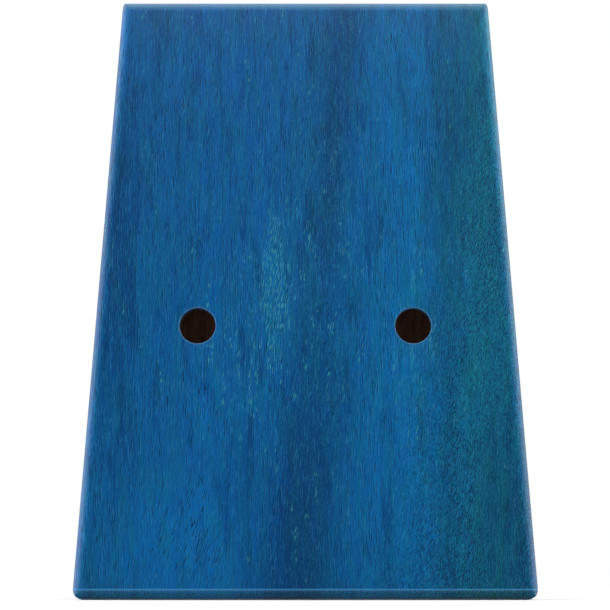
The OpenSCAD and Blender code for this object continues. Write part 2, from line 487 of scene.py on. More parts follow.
# Dashes along the grain: shift across, width, length, lean, and the noise they start at.
UPRIGHT_PORES = (0, 0.22, 4.0, 0.0, 0.63)
LEANING_PORES = (5, 0.24, 1.5, 0.36, 0.62)
SHORT_PORES = (13, 0.22, 0.8, 0.5, 0.60)
SLANTING_PORES = (7, 0.26, 2.4, 0.3, 0.62)
PLAIN_PORES = (0, 0.3, 3.5, 0.05, 0.63)
GLINTS = (31, 0.22, 3.4, 0.06, 0.65)
FLECKS = (57, 0.32, 2.1, 0.2, 0.58)
DASH_SOFTNESS = 0.07
LIT_SIDE = 0.26

# Grain sizes of the stained wood, in millimetres across, into and along the board.
BOARD_WANDER = (60, 60, 150)
FRONT_WANDER = (50, 50, 140)
RAIL_DRIFT = (30, 9, 90)
GRAIN_WAVE = (20, 20, 60)
RAGGED_BORDER = (4, 9, 10)
SMUDGES = (3.6, 9, 17)
RIBBONS = (7, 14, 90)
MOTTLE = (1.8, 8, 11)
FIBRES = (0.30, 0.8, 5.5)
LINES = (0.34, 0.8, 22)
HAIRS = (0.19, 0.4, 1.2)
GRIT = (0.24, 0.3, 0.9)
GRIT_LEAN = 0.42
PORE_PATCHES = (7, 9, 24)
FLECK_STREAKS = (2.0, 9, 16)
FLECK_CLUMPS = (1.5, 9, 3.5)
BLOTCHES = (2.6, 9, 14)

# Tints that multiply the stain's colour.
TEAL_SHIFT = (1.2, 1.08, 0.9, 1.0)
DARK_GRAIN = (0.40, 0.52, 0.60, 1.0)
LIGHT_GRAIN = (1.6, 1.5, 1.4, 1.0)
# Painted sheen: the rounded edges at the sides and head made paler, as if catching light.
EDGE_SHEEN = (1.4, 1.68, 1.7, 1.0)
# Painted shade: the foot's down-facing rounded edge, darker below the crease.
FOOT_SHADE = (0.7, 0.8, 0.62, 1.0)

# Colours laid over the stain.
CLUSTER_STAIN = paint(12, 98, 132)
LIT_PORE = paint(28, 122, 176)
GLINT = paint(44, 126, 168)
FLECK = paint(60, 144, 146)
PORE = paint(3, 34, 66)
# Painted sheen on the head's rounded edge, greyer and paler.
HEAD_SHEEN = paint(75, 115, 140)
# Painted highlight: a thin pale line along the foot's crease.
CREASE_HIGHLIGHT = paint(64, 150, 205)
# Painted highlight: a thin pale ring on the tone holes' lips.
HOLE_LIP_HIGHLIGHT = paint(110, 145, 165)

# Where the painted sheen, shade and highlights start and are full, in millimetres.
EDGE_SHEEN_WIDTH = 1.2
EDGE_SHEEN_FULL = 1.0
FOOT_FADE = 0.6
HEAD_SHEEN_REACH = 3.6
HEAD_SHEEN_FULL = 1.8
CREASE_HIGHLIGHT_REACH = 0.4
LIP_HIGHLIGHT_OFFSET = 0.15
LIP_HIGHLIGHT_REACH = 0.35

# The range of x that the hues span, in millimetres.
HUE_START = 70
HUE_SPAN = 140


def dashes(finish, place, kind):
    """Short dashes along the grain, of one kind: stretched noise above a cut."""
    x, y, z = place
    shift, width, length, lean, cut = kind
    speck = finish.noise((x + shift - z * lean, y, z), (width, width, length), 0.0)
    return finish.rise(speck, cut, cut + DASH_SOFTNESS)


def pores(finish, place, leaning, slanting):
    """Pores as dark dashes: long and upright, short and leaning, or in between and slanting."""
    upright = dashes(finish, place, UPRIGHT_PORES)
    leant = dashes(finish, place, LEANING_PORES)
    short = dashes(finish, place, SHORT_PORES)
    slant = dashes(finish, place, SLANTING_PORES)
    pore = upright * (1 - finish.most(leaning * 0.7, slanting * 0.6))
    pore = finish.most(pore, finish.most(leant, short) * leaning)
    return finish.most(pore, slant * slanting)


def back_figure(finish, x, y, z):
    """The back's own figure: blue at the player's right, teal at the left, a dark heart
    streak that drifts left as it climbs, and where its pores lean and its pale flecks lie."""
    wander = finish.noise((x, y, z), BOARD_WANDER, 1.0) - 0.5
    ragged = finish.noise((x, y, z), RAGGED_BORDER, 2.0) - 0.5
    swerve = x + wander * 9 + ragged * finish.rise(x, 10, 35, 8, 22)
    swerve = swerve - finish.rise(z, 105, 175) * finish.rise(x, 10, 35) * 6
    hue = finish.ramp((swerve + HUE_START) / HUE_SPAN, [
        (0.00, paint(4, 70, 118)),
        (0.16, paint(3, 75, 129)),
        (0.30, paint(3, 77, 135)),
        (0.42, paint(3, 76, 133)),
        (0.51, paint(4, 75, 126)),
        (0.62, paint(3, 80, 136)),
        (0.73, paint(3, 86, 142)),
        (0.80, paint(5, 81, 124)),
        (0.88, paint(8, 86, 114)),
        (1.00, paint(10, 70, 106)),
    ])
    heart_reach = finish.rise(z, 50, 120, 17, 9)
    heart_place = x - z * 0.075 + finish.rise(z, 0, 60, 3.0, 0.8)
    streak = finish.hump(heart_place / heart_reach, 0, 1)
    foot_depth = finish.rise(z, 45, 85, 0.16, 0.0)
    head_depth = finish.rise(z, 95, 135, 0.0, 0.07)
    heart = streak * (0.2 + foot_depth + head_depth)
    stripe = finish.hump(x - z * 0.01, 42.5, 5) * 0.12
    left_border = finish.rise(x, 50, 64) * finish.rise(z, 20, 85, 0.16, 0.0)
    head_shadow = finish.hump(x - z * 0.05, 38, 12) * finish.hump(z, 140, 45) * 0.14
    right_border = finish.rise(x - z * 0.03, -50, -62) * finish.hump(z, 105, 85) * 0.3
    foot_shadow = finish.patch(x, z, (55, 18), (9, 40)) * 0.14
    border = left_border + head_shadow + right_border + foot_shadow
    smudge = finish.rise(finish.noise((x, y, z), SMUDGES, 2.0), 0.52, 0.72)
    lift = finish.patch(x, z, (-40, 8), (26, 34)) * 0.25
    shade = 1.03 - heart - stripe - border - smudge * 0.26 + lift
    plain_end = finish.patch(x, z, (57, 20), (7, 36))
    leaning = finish.rise(x - z * 0.2, 10, 36) * (1 - plain_end * 0.7)
    leaning = finish.most(leaning, streak * 0.5)
    slanting = finish.patch(x, z, (-30, 16), (24, 34))
    main_flecks = finish.patch(x, z, (-8.5, 93), (5.8, 31)) * 0.95
    left_flecks = finish.patch(x, z, (33, 78), (10, 40)) * 0.4
    right_flecks = finish.patch(x, z, (-20, 74), (12, 40)) * 0.35
    loose_flecks = finish.patch(x, z, (6, 88), (32, 66)) * 0.22
    cluster = main_flecks + left_flecks + right_flecks + loose_flecks
    return hue, shade, leaning, slanting, cluster


def front_figure(finish, x, y, z):
    """The soundboard's figure: even blue with a darker streak, from another board."""
    wander = finish.noise((x, y, z), FRONT_WANDER, 1.0) - 0.5
    swerve = x + wander * 12
    hue = finish.ramp((swerve + HUE_START) / HUE_SPAN, [
        (0.00, paint(7, 84, 126)),
        (0.22, paint(5, 85, 142)),
        (0.40, paint(5, 77, 135)),
        (0.55, paint(6, 86, 146)),
        (0.72, paint(5, 75, 132)),
        (1.00, paint(7, 77, 124)),
    ])
    shade = 1 - finish.hump(x + z * 0.03, -22, 9) * 0.14
    leaning = finish.rise(x, 10, -30)
    slanting = finish.patch(x, z, (30, 30), (24, 40))
    cluster = finish.patch(x, z, (24, 62), (12, 40)) * 0.7
    return hue, shade, leaning, slanting, cluster


def rail_figure(finish, x, y, z):
    """A rail's figure: one even blue that drifts slowly."""
    drift = finish.noise((x, y, z), RAIL_DRIFT, 1.0)
    hue = finish.ramp(drift, [(0.3, paint(5, 72, 128)), (0.7, paint(7, 84, 140))])
    return hue, 1 - drift * 0.05, drift * 0.6, drift * 0.5, drift * 0.1


def panel_edge(finish, x, z):
    """0 on a panel's flat face, and 1 at its sides and head, across its rounded edge."""
    side = (HALF_FOOT - z * SIDE_SLOPE - abs(x)) * math.cos(SIDE_LEAN)
    edge = finish.maths("MINIMUM", side, CASE_LENGTH - z)
    return finish.rise(edge, EDGE_ROUND + EDGE_SHEEN_WIDTH, EDGE_SHEEN_FULL)


def stained_wood(name, figure, flat=False, seed=0.0, painted_light=None):
    """Blue-stained open-pored wood under clear lacquer.

    Ribbons, fibres and pores are noises stretched along the grain, which runs up the case,
    or across it where flat is true. The figure gives the broad colour under them, and
    the last argument lays painted light on the edges: a painted sheen, and on the back
    painted shade and highlights too.
    """
    finish = Finish(name)
    x, y, z = finish.place
    if flat:
        x, z = z, x
    hue, shade, leaning, slanting, cluster = figure(finish, x, y, z)
    wave = finish.noise((x, y, z), GRAIN_WAVE, 1.0) - 0.5
    grain_x = x + wave * 2 + seed
    place = (grain_x, y, z)
    ribbon = finish.noise(place, RIBBONS, 2.0)
    mottle = finish.noise(place, MOTTLE, 2.0)
    fibre = finish.noise(place, FIBRES, 2.0, 0.6)
    hair = finish.noise(place, HAIRS, 1.0)
    line = finish.noise(place, LINES, 1.0)
    grit = finish.noise((grain_x - z * GRIT_LEAN, y, z), GRIT, 1.0)
    straight_grain = (fibre - 0.5) * 0.7 + (hair - 0.5) * 0.8 + (line - 0.5) * 0.7
    leant_grain = (grit - 0.5) * 2.2 + (fibre - 0.5) * 0.8
    tone = shade + (ribbon - 0.5) * 0.4 + (mottle - 0.5) * 0.2
    tone = tone + straight_grain * (1 - leaning * 0.85) + leant_grain * leaning

    crowding = finish.rise(finish.noise(place, PORE_PATCHES, 2.0), 0.36, 0.56, 0.35, 1.0)
    pore = pores(finish, place, leaning, slanting) * crowding
    beside = (grain_x - LIT_SIDE, y, z)
    lit = pores(finish, beside, leaning, slanting) * crowding * (1 - pore)
    glint = dashes(finish, place, GLINTS)
    streak = finish.noise(place, FLECK_STREAKS, 1.0)
    clump = finish.noise(place, FLECK_CLUMPS, 1.0)
    scatter = cluster + (streak - 0.5) * 2.6 + (clump - 0.5) * 1.4
    fleck = dashes(finish, place, FLECKS) * finish.rise(scatter, 0.45, 0.85)

    blotch = finish.rise(finish.noise(place, BLOTCHES, 1.0), 0.42, 0.62)
    hue = finish.mix(blotch, hue, finish.tinted(hue, TEAL_SHIFT))
    hue = finish.mix(cluster * 0.25, hue, CLUSTER_STAIN)
    dark = finish.tinted(hue, DARK_GRAIN)
    light = finish.tinted(hue, LIGHT_GRAIN)
    colour = finish.mix(finish.rise(tone, 0.5, 1.5), dark, light)
    colour = finish.mix(lit * 0.3, colour, LIT_PORE)
    colour = finish.mix(glint * (0.3 + cluster * 0.4), colour, GLINT)
    colour = finish.mix(fleck * 0.62, colour, FLECK)
    colour = finish.mix(pore * 0.75, colour, PORE)
    # Painted light laid on the edges: a sheen, and on the back painted shade and highlights too.
    if painted_light:
        colour = painted_light(finish, colour, x, z)
    height = 0.6 + (fibre - 0.5) * 0.4 - pore * 0.5
    return finish.surface(
        Base_Color=colour,
        Roughness=0.34 + pore * 0.15 + (fibre - 0.5) * 0.1,
        Normal=finish.bump(height, 0.015),
        Specular_IOR_Level=0.05,
        Coat_Weight=0.55,
        Coat_Roughness=0.05,
    )


def edge_sheen(finish, colour, x, z):
    """A panel's stain with a painted sheen: paler across its rounded edge at the sides and head."""
    pale = finish.tinted(colour, EDGE_SHEEN)
    return finish.mix(panel_edge(finish, x, z), colour, pale)


def back_painted_light(finish, colour, x, z):
    """The back's stain with painted light: a painted sheen at its edge, painted highlights along
    the foot's crease and at the holes' lips, a greyer painted sheen along the head and painted
    shade below the crease."""
    colour = edge_sheen(finish, colour, x, z)
    # Painted shade on the foot's rounded edge below the crease, where it turns down.
    below = finish.rise(z, EDGE_ROUND, EDGE_ROUND - FOOT_FADE)
    colour = finish.mix(below * 0.8, colour, finish.tinted(colour, FOOT_SHADE))
    # Painted sheen along the head's rounded edge, which faces up.
    head = finish.rise(z, CASE_LENGTH - HEAD_SHEEN_REACH, CASE_LENGTH - HEAD_SHEEN_FULL)
    colour = finish.mix(head * 0.55, colour, HEAD_SHEEN)
    # Painted highlight: a thin pale line where the foot's rounded edge starts.
    crease = finish.hump(z, EDGE_ROUND, CREASE_HIGHLIGHT_REACH)
    colour = finish.mix(crease * 0.5, colour, CREASE_HIGHLIGHT)
    # Painted highlight: a pale ring at each tone hole's lip.
    across = abs(x) - TONE_HOLE_OFFSET
    up = z - TONE_HOLE_HEIGHT
    away = finish.maths("POWER", across * across + up * up, 0.5)
    lip = finish.hump(away, TONE_HOLE_RADIUS + LIP_HIGHLIGHT_OFFSET, LIP_HIGHLIGHT_REACH)
    return finish.mix(lip * 0.22, colour, HOLE_LIP_HIGHLIGHT)


def plain_wood(name, light, dark, pored, flat=False, rough=0.6, coat=0.0):
    """Bare or oiled wood in two browns, with fibres and pores along the grain."""
    finish = Finish(name)
    x, y, z = finish.place
    if flat:
        x, z = z, x
    wave = finish.noise((x, y, z), (14, 14, 50), 1.0) - 0.5
    place = (x + wave * 4, y, z)
    ribbon = finish.noise(place, (4, 5, 70), 2.0)
    fibre = finish.noise(place, (0.5, 0.5, 12), 3.0, 0.6)
    pore = dashes(finish, place, PLAIN_PORES)
    tone = finish.rise(0.5 + (ribbon - 0.5) * 1.6 + (fibre - 0.5) * 1.1, 0.1, 0.9)
    colour = finish.mix(tone, dark, light)
    colour = finish.mix(pore * 0.7, colour, pored)
    return finish.surface(
        Base_Color=colour,
        Roughness=rough + (fibre - 0.5) * 0.2 + pore * 0.1,
        Normal=finish.bump(fibre * 0.5 - pore * 0.5, 0.05),
        Coat_Weight=coat,
        Coat_Roughness=0.3,
    )


def steel(name, dark, light, rough, grain, stained):
    """Ground steel: fine lines along its length, soft smears and a few brown stains.

    grain is the size of the lines' noise along X, Y and Z, in millimetres.
    """
    finish = Finish(name)
    line = finish.noise(finish.place, grain, 2.0, 0.6)
    smear = finish.noise(finish.place, (6, 6, 11), 3.0)
    stain = finish.noise(finish.place, (2.4, 2.4, 4), 3.0)
    stain = finish.rise(stain, 0.58, 0.76) * stained
    colour = finish.mix(finish.rise(line, 0.3, 0.7), dark, light)
    colour = finish.mix(stain + (smear - 0.4) * 0.25, colour, paint(128, 118, 104))
    return finish.surface(
        Base_Color=colour,
        Metallic=1.0,
        Roughness=rough + (line - 0.5) * 0.2 + (smear - 0.5) * 0.16 + stain * 0.2,
        Normal=finish.bump(line, 0.006),
    )


def brass(name):
    """Turned brass: bright yellow with faint turning marks and brown tarnish."""
    finish = Finish(name)
    mark = finish.noise(finish.place, (6, 0.1, 6), 1.0)
    tarnish = finish.noise(finish.place, (2, 2, 2), 3.0)
    colour = finish.mix(finish.rise(tarnish, 0.4, 0.75), paint(222, 184, 104), paint(138, 98, 48))
    return finish.surface(
        Base_Color=colour,
        Metallic=1.0,
        Roughness=0.28 + tarnish * 0.2,
        Normal=finish.bump(mark, 0.01),
    )


# The back and the soundboard carry painted light on their rounded edges.
BACK_WOOD = stained_wood("stained_back_wood", back_figure, painted_light=back_painted_light)
FRONT_WOOD = stained_wood("stained_front_wood", front_figure, seed=40.0, painted_light=edge_sheen)
SIDE_WOOD = stained_wood("stained_side_wood", rail_figure, seed=15.0)
END_WOOD = stained_wood("stained_end_wood", rail_figure, flat=True, seed=25.0)
RAW_WOOD = plain_wood("raw_mahogany", paint(166, 116, 84), paint(136, 92, 66), paint(80, 50, 36))
BORE_WOOD = plain_wood("stained_bore_wood", paint(22, 74, 104), paint(12, 46, 74), paint(6, 22, 40))
BLOCK_WOOD = plain_wood(
    "raw_maple", paint(206, 170, 124), paint(168, 126, 84), paint(120, 84, 52), flat=True
)
BRIDGE_WOOD = plain_wood(
    "dark_bridge_wood", paint(78, 48, 32), paint(38, 22, 16), paint(16, 9, 7),
    flat=True, rough=0.42, coat=0.35,
)
BAR_STEEL = steel(
    "polished_bar_steel", paint(172, 174, 178), paint(204, 205, 208),
    rough=0.16, grain=(25.0, 0.3, 0.3), stained=0.12,
)
SCREW_STEEL = steel(
    "polished_screw_steel", paint(150, 152, 156), paint(190, 191, 194),
    rough=0.22, grain=(1.2, 0.15, 1.2), stained=0.15,
)
TINE_STEEL = steel(
    "spring_steel", paint(164, 166, 171), paint(200, 201, 205),
    rough=0.2, grain=(0.16, 9.0, 30.0), stained=0.25,
)
BRASS = brass("turned_brass")


# ---- the case ----


def back_panel():
    """The back: two half loops that meet on the centre line, each around its tone hole."""
    places, normals = side_outline(0.0, 0.0)
    halves = [(places, normals, True), (mirrored(places), mirrored(normals), True)]
    holes = [np.array([x, TONE_HOLE_HEIGHT]) for x in (TONE_HOLE_OFFSET, -TONE_HOLE_OFFSET)]
    patches = panel_patches(back_low[1], back_high[1], halves, holes, TONE_HOLE_RADIUS)
    finishes = [BACK_WOOD, BORE_WOOD, RAW_WOOD]
    make_piece("back_board", "case", ["back_panel"], patches, finishes)


def soundboard():
    """The soundboard: one loop around the sound hole."""
    loop = [(*closed_outline(), False)]
    holes = [np.array([0.0, SOUND_HOLE_HEIGHT])]
    patches = panel_patches(board_high[1], board_low[1], loop, holes, SOUND_HOLE_RADIUS)
    finishes = [FRONT_WOOD, BORE_WOOD, RAW_WOOD]
    make_piece("sound_board", "case", ["soundboard"], patches, finishes)


def rail(name, node, outer, normals, inner, finish):
    """A rail: its outer line at four depths, eased by a hair at the seams, and its inner line."""
    low, high = back_high[1], board_low[1]
    insets = np.array([SEAM, 0.0, 0.0, SEAM])
    depths = np.array([low, low + SEAM, high - SEAM, high])
    outside = at_depth(outer[None] - insets[:, None, None] * normals[None], depths[:, None])
    inside = at_depth(np.broadcast_to(inner, outside.shape[:2] + (2,)), depths[:, None])
    patches = slab(outside, inside)
    make_piece(name, "case", [node], patches, [finish, RAW_WOOD])


def rails():
    """Two side rails that carry the corners, and two end rails between them."""
    foot_x = half_width(0.0, RAIL)
    head_x = half_width(CASE_LENGTH, RAIL)
    places, normals = side_outline(foot_x + SEAM, head_x + SEAM)
    ends = np.array([[foot_x, 0.0], [head_x, CASE_LENGTH]])
    nicks = ends + [[0.0, SEAM], [0.0, -SEAM]]
    outer = np.concatenate([nicks[:1], places, nicks[1:]])
    normals = np.concatenate([normals[:1], normals, normals[-1:]])
    inner_z = outer[:, 1]
    inner = np.stack([half_width(inner_z, RAIL), inner_z], axis=1)
    inner[0], inner[-1] = nicks
    flipped = mirrored(normals)
    rail("left_rail", "side_rail_left", outer, normals, inner, SIDE_WOOD)
    rail("right_rail", "side_rail_right", mirrored(outer), flipped, mirrored(inner), SIDE_WOOD)
    for name, node, edge_z, inner_z in (
        ("foot_end_rail", "foot_rail", 0.0, RAIL),
        ("head_end_rail", "head_rail", CASE_LENGTH, CASE_LENGTH - RAIL),
    ):
        way = math.copysign(1.0, inner_z - edge_z)
        edge_x = half_width(edge_z, RAIL)
        inner_x = half_width(inner_z, RAIL)
        nick_z = edge_z + way * SEAM
        line = along((SEAM - edge_x, edge_z), (edge_x - SEAM, edge_z), END_RAIL_STEP)
        outer = np.concatenate([
            [[-inner_x, inner_z], [-edge_x, nick_z]],
            line,
            [[edge_x, nick_z], [inner_x, inner_z]],
        ])
        level = np.full(len(outer), inner_z)
        inner = np.stack([np.clip(outer[:, 0], -inner_x, inner_x), level], axis=1)
        normals = np.zeros((len(outer), 2))
        normals[1:-1, 1] = -way
        rail(name, node, outer, normals, inner, END_WOOD)


# ---- the bridge ----


def bridge_top(z):
    """The depth of the base's top at height z: a slope through the saddles' middle lines."""
    middle = (FRONT_SADDLE + REAR_SADDLE) / 2
    return middle[1] - (z - middle[2]) * math.tan(TINE_SLOPE)


def bridge_profile():
    """The base's section as places (y, z): front wall, eased corner, sloping top with two
    half-round grooves for the saddles, eased corner and rear wall."""
    ease = BASE_EASE
    bottom_y = base_low[1]
    front_z, rear_z = base_low[2], base_high[2]
    front_y = bridge_top(front_z + ease) - ease
    rear_y = bridge_top(rear_z - ease) - ease
    groove = SADDLE_RADIUS + GROOVE_PLAY
    dip = np.linspace(0.0, math.pi, 17)
    parts = [
        (np.linspace(bottom_y, front_y, 4), np.full(4, front_z)),
        (front_y + ease * np.sin(EASE_TURN), front_z + ease - ease * np.cos(EASE_TURN)),
    ]
    for centre in (FRONT_SADDLE, REAR_SADDLE):
        z = centre[2] - groove * np.cos(dip)
        parts.append((bridge_top(z) - groove * np.sin(dip), z))
    parts.append((rear_y + ease * np.cos(EASE_TURN), rear_z - ease + ease * np.sin(EASE_TURN)))
    parts.append((np.linspace(rear_y, bottom_y, 4), np.full(4, rear_z)))
    joined = np.concatenate([np.stack(part, axis=1) for part in parts])
    gaps = np.linalg.norm(np.diff(joined, axis=0), axis=1)
    return joined[np.append(True, gaps > SAME_PLACE)]


def bridge():
    """The base: its section carried along X. Towards the ends the walls and the top draw in
    by d = r (1 - cos a) at x = l - r (1 - sin a), and the grooves run straight through."""
    profile = bridge_profile()
    ends = base_high[0] - BASE_END_EASE * (1 - np.sin(EASE_TURN))
    insets = BASE_END_EASE * (1 - np.cos(EASE_TURN))
    rows = np.concatenate([-ends[::-1], ends])[:, None]
    insets = np.concatenate([insets[::-1], insets])[:, None]
    z = np.clip(profile[:, 1], base_low[2] + insets, base_high[2] - insets)
    y = np.minimum(profile[:, 0], bridge_top(z) - insets)
    y[:, [0, -1]] = base_low[1]
    x = np.broadcast_to(rows, y.shape)
    upper = np.stack([x, y, z], axis=-1)
    lower = np.stack([x, np.full_like(y, base_low[1]), z], axis=-1)
    patches = slab(upper, lower, 0, 0)
    make_piece("bridge_block", "case", ["bridge_base"], patches, [BRIDGE_WOOD])


def rod(name, node, centre, radius, half):
    """A round rod along X: rings x, r (cos a, sin a), with eased ends closed at their poles."""
    end_x = half - SADDLE_END_EASE * (1 - np.sin(EASE_TURN))
    end_r = radius - SADDLE_END_EASE * (1 - np.cos(EASE_TURN))
    middle = np.linspace(-end_x[0], end_x[0], 41)[1:-1]
    xs = np.concatenate([[-half], -end_x[::-1], middle, end_x, [half]])
    even = np.full(len(middle), radius)
    radii = np.concatenate([[0.0], end_r[::-1], even, end_r, [0.0]])
    angles = np.linspace(0.0, 2 * math.pi, 41)
    grid = np.empty((len(xs), len(angles), 3))
    grid[..., 0] = xs[:, None]
    grid[..., 1] = centre[1] + radii[:, None] * np.cos(angles)
    grid[..., 2] = centre[2] + radii[:, None] * np.sin(angles)
    make_piece(name, "case", [node], [(grid, 0)], [BAR_STEEL])


def pressure_bar():
    """The bar: a round rod along X with a flat spot face cut for each screw head.

    Row by row around the bar, the columns near a screw are drawn to the cutter's circle
    x = x0 + sqrt(R^2 - z^2), and inside it no point stands above the seat.
    """
    half = bar_high[0]
    seat = SCREW_SEAT - BAR_CENTRE[1]
    flat_turn = math.acos(seat / BAR_RADIUS)
    across = np.linspace(-flat_turn, flat_turn, 17)
    rest = np.linspace(flat_turn, 2 * math.pi - flat_turn, 40)
    angles = np.concatenate([across, rest[1:]])
    height = BAR_RADIUS * np.cos(angles)
    side = BAR_RADIUS * np.sin(angles)
    reach = np.sqrt(SPOT_FACE_RADIUS**2 - side**2)
    xs, heights, sides = [], [], []

    def column(x, y, z):
        xs.append(np.broadcast_to(x, angles.shape))
        heights.append(y)
        sides.append(z)

    shrink = (BAR_RADIUS - BAR_END_EASE * (1 - np.cos(EASE_TURN))) / BAR_RADIUS
    ends = half - BAR_END_EASE * (1 - np.sin(EASE_TURN))
    column(-half, height * 0, side * 0)
    for x, scale in zip(-ends[::-1], shrink[::-1]):
        column(x, height * scale, side * scale)
    cut = np.minimum(height, seat)
    cursor = -ends[0]
    for place in SCREW_PLACES:
        for x in np.linspace(cursor, place - BESIDE_SCREW, 6)[1:]:
            column(x, height, side)
        column(place - reach, height, side)
        for part in (-1.0, -0.5, 0.0, 0.5, 1.0):
            column(place + reach * part, cut, side)
        column(place + reach, height, side)
        column(place + BESIDE_SCREW, height, side)
        cursor = place + BESIDE_SCREW
    for x in np.linspace(cursor, ends[0], 6)[1:-1]:
        column(x, height, side)
    for x, scale in zip(ends, shrink):
        column(x, height * scale, side * scale)
    column(half, height * 0, side * 0)
    grid = np.stack([xs, heights, sides], axis=-1) + [0.0, BAR_CENTRE[1], BAR_CENTRE[2]]
    make_piece("clamp_bar", "case", ["pressure_bar"], [(grid, 0)], [BAR_STEEL])


def clamp_screws():
    """Four socket-head screws. The shank's radius is r - h + h cos(2 pi y / pitch - a), which
    winds a thread, the head is turned, and the socket is a hexagon of radius
    r cos 30 / cos(a mod 60 - 30) with a drilled cone at its floor."""
    angles = np.linspace(0.0, 2 * math.pi, 49)
    sector = np.mod(angles, math.pi / 3) - math.pi / 6
    hexagon = SOCKET_RADIUS * math.cos(math.pi / 6) / np.cos(sector)
    top = screws_high[1]
    tip = screws_low[1]
    floor_y = top - SOCKET_DEPTH
    rows = np.arange(tip + THREAD_FROM_TIP, SCREW_SEAT - THREAD_FROM_SEAT, THREAD_PITCH / 8)
    winding = 2 * math.pi * rows[:, None] / THREAD_PITCH - angles
    thread = SCREW_RADIUS - THREAD_DEPTH + THREAD_DEPTH * np.cos(winding)
    head_y = top - SCREW_HEAD_EASE * (1 - np.sin(EASE_TURN))
    head_r = SCREW_HEAD_RADIUS - SCREW_HEAD_EASE * (1 - np.cos(EASE_TURN))
    profile = [
        (tip, 0.0),
        (tip, SCREW_RADIUS * 0.7),
        (tip + SCREW_TIP_EASE, SCREW_RADIUS - 0.2),
        *zip(rows, thread),
        (SCREW_SEAT - 0.2, SCREW_RADIUS - 0.05),
        (SCREW_SEAT, SCREW_RADIUS),
        (SCREW_SEAT, SCREW_HEAD_RADIUS - SCREW_UNDER_EASE),
        (SCREW_SEAT + SCREW_UNDER_EASE, SCREW_HEAD_RADIUS),
        *zip(head_y, head_r),
        (top, SOCKET_RADIUS + SOCKET_RIM),
        (top - SOCKET_RIM_DEPTH, hexagon),
        (floor_y, hexagon),
        (floor_y - 0.25, hexagon * 0.4),
        (floor_y - DRILL_DEPTH, 0.0),
    ]
    axial, radii = zip(*profile)
    axial = np.array(axial)
    radial = np.array([np.broadcast_to(radius, angles.shape) for radius in radii])
    places = [(x, 0.0, BAR_CENTRE[2]) for x in SCREW_PLACES]
    patches = [(turned(axial, radial, angles, place), 0) for place in places]
    make_piece(
        "socket_screws", "case", ["clamp_screws"], patches, [SCREW_STEEL], sharp=30.0
    )


# ---- the tines ----


def tine_frame(x, out, down):
    """A place in the tines' own frame: out is away from the soundboard and down is towards
    the tips, both from the tines' underside below the bar, turned by the tines' slope."""
    sine, cosine = math.sin(TINE_SLOPE), math.cos(TINE_SLOPE)
    y = BAR_CENTRE[1] + (out - TINE_LIFT) * cosine + down * sine
    z = BAR_CENTRE[2] + (out - TINE_LIFT) * sine - down * cosine
    return np.stack(np.broadcast_arrays(x, y, z), axis=-1)


def tine(number):
    """One strip of spring steel from its square tail to its round, curled tip.

    At distance s from the tip the half width is sqrt(r^2 - (r - s)^2) up to r, and then
    r. The section is a rounded rectangle. The middle line is straight, and over the last
    few millimetres it follows a circle that lifts the tip away from the soundboard.
    """
    name = f"tine_{number:02d}"
    tail_low, tail_high = box_mm(name + "_tail")
    reed_low = box_mm(name + "_reed")[0]
    centre_x = (tail_low[0] + tail_high[0]) / 2
    sine, cosine = math.sin(TINE_SLOPE), math.cos(TINE_SLOPE)
    underside_z = BAR_CENTRE[2] - TINE_LIFT * sine
    tip_out = TIP_CURL - math.sqrt(TIP_CURL**2 - TIP_LENGTH**2)
    tail_end = -(tail_high[2] - underside_z - TINE_THICKNESS * sine) / cosine
    tip_end = -(reed_low[2] - underside_z - tip_out * sine) / cosine
    curl_start = tip_end - TIP_LENGTH
    middle = TIP_CURL - TINE_THICKNESS / 2
    curl = middle * math.asin(TIP_LENGTH / middle)
    total = curl_start - tail_end + curl
    radius = TINE_HALF_WIDTH

    tail_turn = np.linspace(0.0, QUARTER, 6)
    from_tip = np.concatenate([
        radius * (1 - np.cos(LONG_TURN[1:])),
        np.linspace(radius, curl, 8)[1:],
        np.linspace(curl, total - TAIL_CORNER, 30)[1:-1],
        total - TAIL_CORNER * (1 - np.sin(tail_turn)),
    ])
    near_tip = np.clip(radius - from_tip, 0.0, radius)
    near_tail = np.clip(from_tip - (total - TAIL_CORNER), 0.0, TAIL_CORNER)
    half_w = np.sqrt(radius**2 - near_tip**2)
    half_w = half_w - (TAIL_CORNER - np.sqrt(TAIL_CORNER**2 - near_tail**2))
    near_end = np.clip(TINE_RIM - np.minimum(from_tip, total - from_tip), 0.0, TINE_RIM)
    half_t = TINE_THICKNESS / 2 - (TINE_RIM - np.sqrt(TINE_RIM**2 - near_end**2))

    quadrant = np.linspace(0.0, QUARTER, CORNER_POINTS)
    turns = np.concatenate([quadrant + QUARTER * corner for corner in range(4)] + [[0.0]])
    repeats = [CORNER_POINTS] * 4 + [1]
    signs_x = np.repeat([1, -1, -1, 1, 1], repeats)
    signs_t = np.repeat([1, 1, -1, -1, 1], repeats)
    ease = np.minimum(TINE_RIM, np.minimum(half_w, half_t) * 0.9)[:, None]
    wide = signs_x * (half_w[:, None] - ease) + ease * np.cos(turns)
    high = signs_t * (half_t[:, None] - ease) + ease * np.sin(turns)
    closed = np.zeros((1, len(turns)))
    wide = np.concatenate([closed, wide, closed])
    high = np.concatenate([closed, high, closed])

    distance = np.concatenate([[0.0], from_tip, [total]])[:, None]
    bent = np.clip(curl - distance, 0.0, curl) / middle
    straight = np.clip(distance - curl, 0.0, None)
    reach = middle - high
    out = TIP_CURL - reach * np.cos(bent)
    down = curl_start - straight + reach * np.sin(bent)
    grid = tine_frame(centre_x + wide, out, down)
    start = tine_frame(centre_x, 0.0, FRONT_SADDLE_DOWN)
    end = tine_frame(centre_x, 0.0, tip_end - TINE_HALF_WIDTH)
    return name, grid, start, end


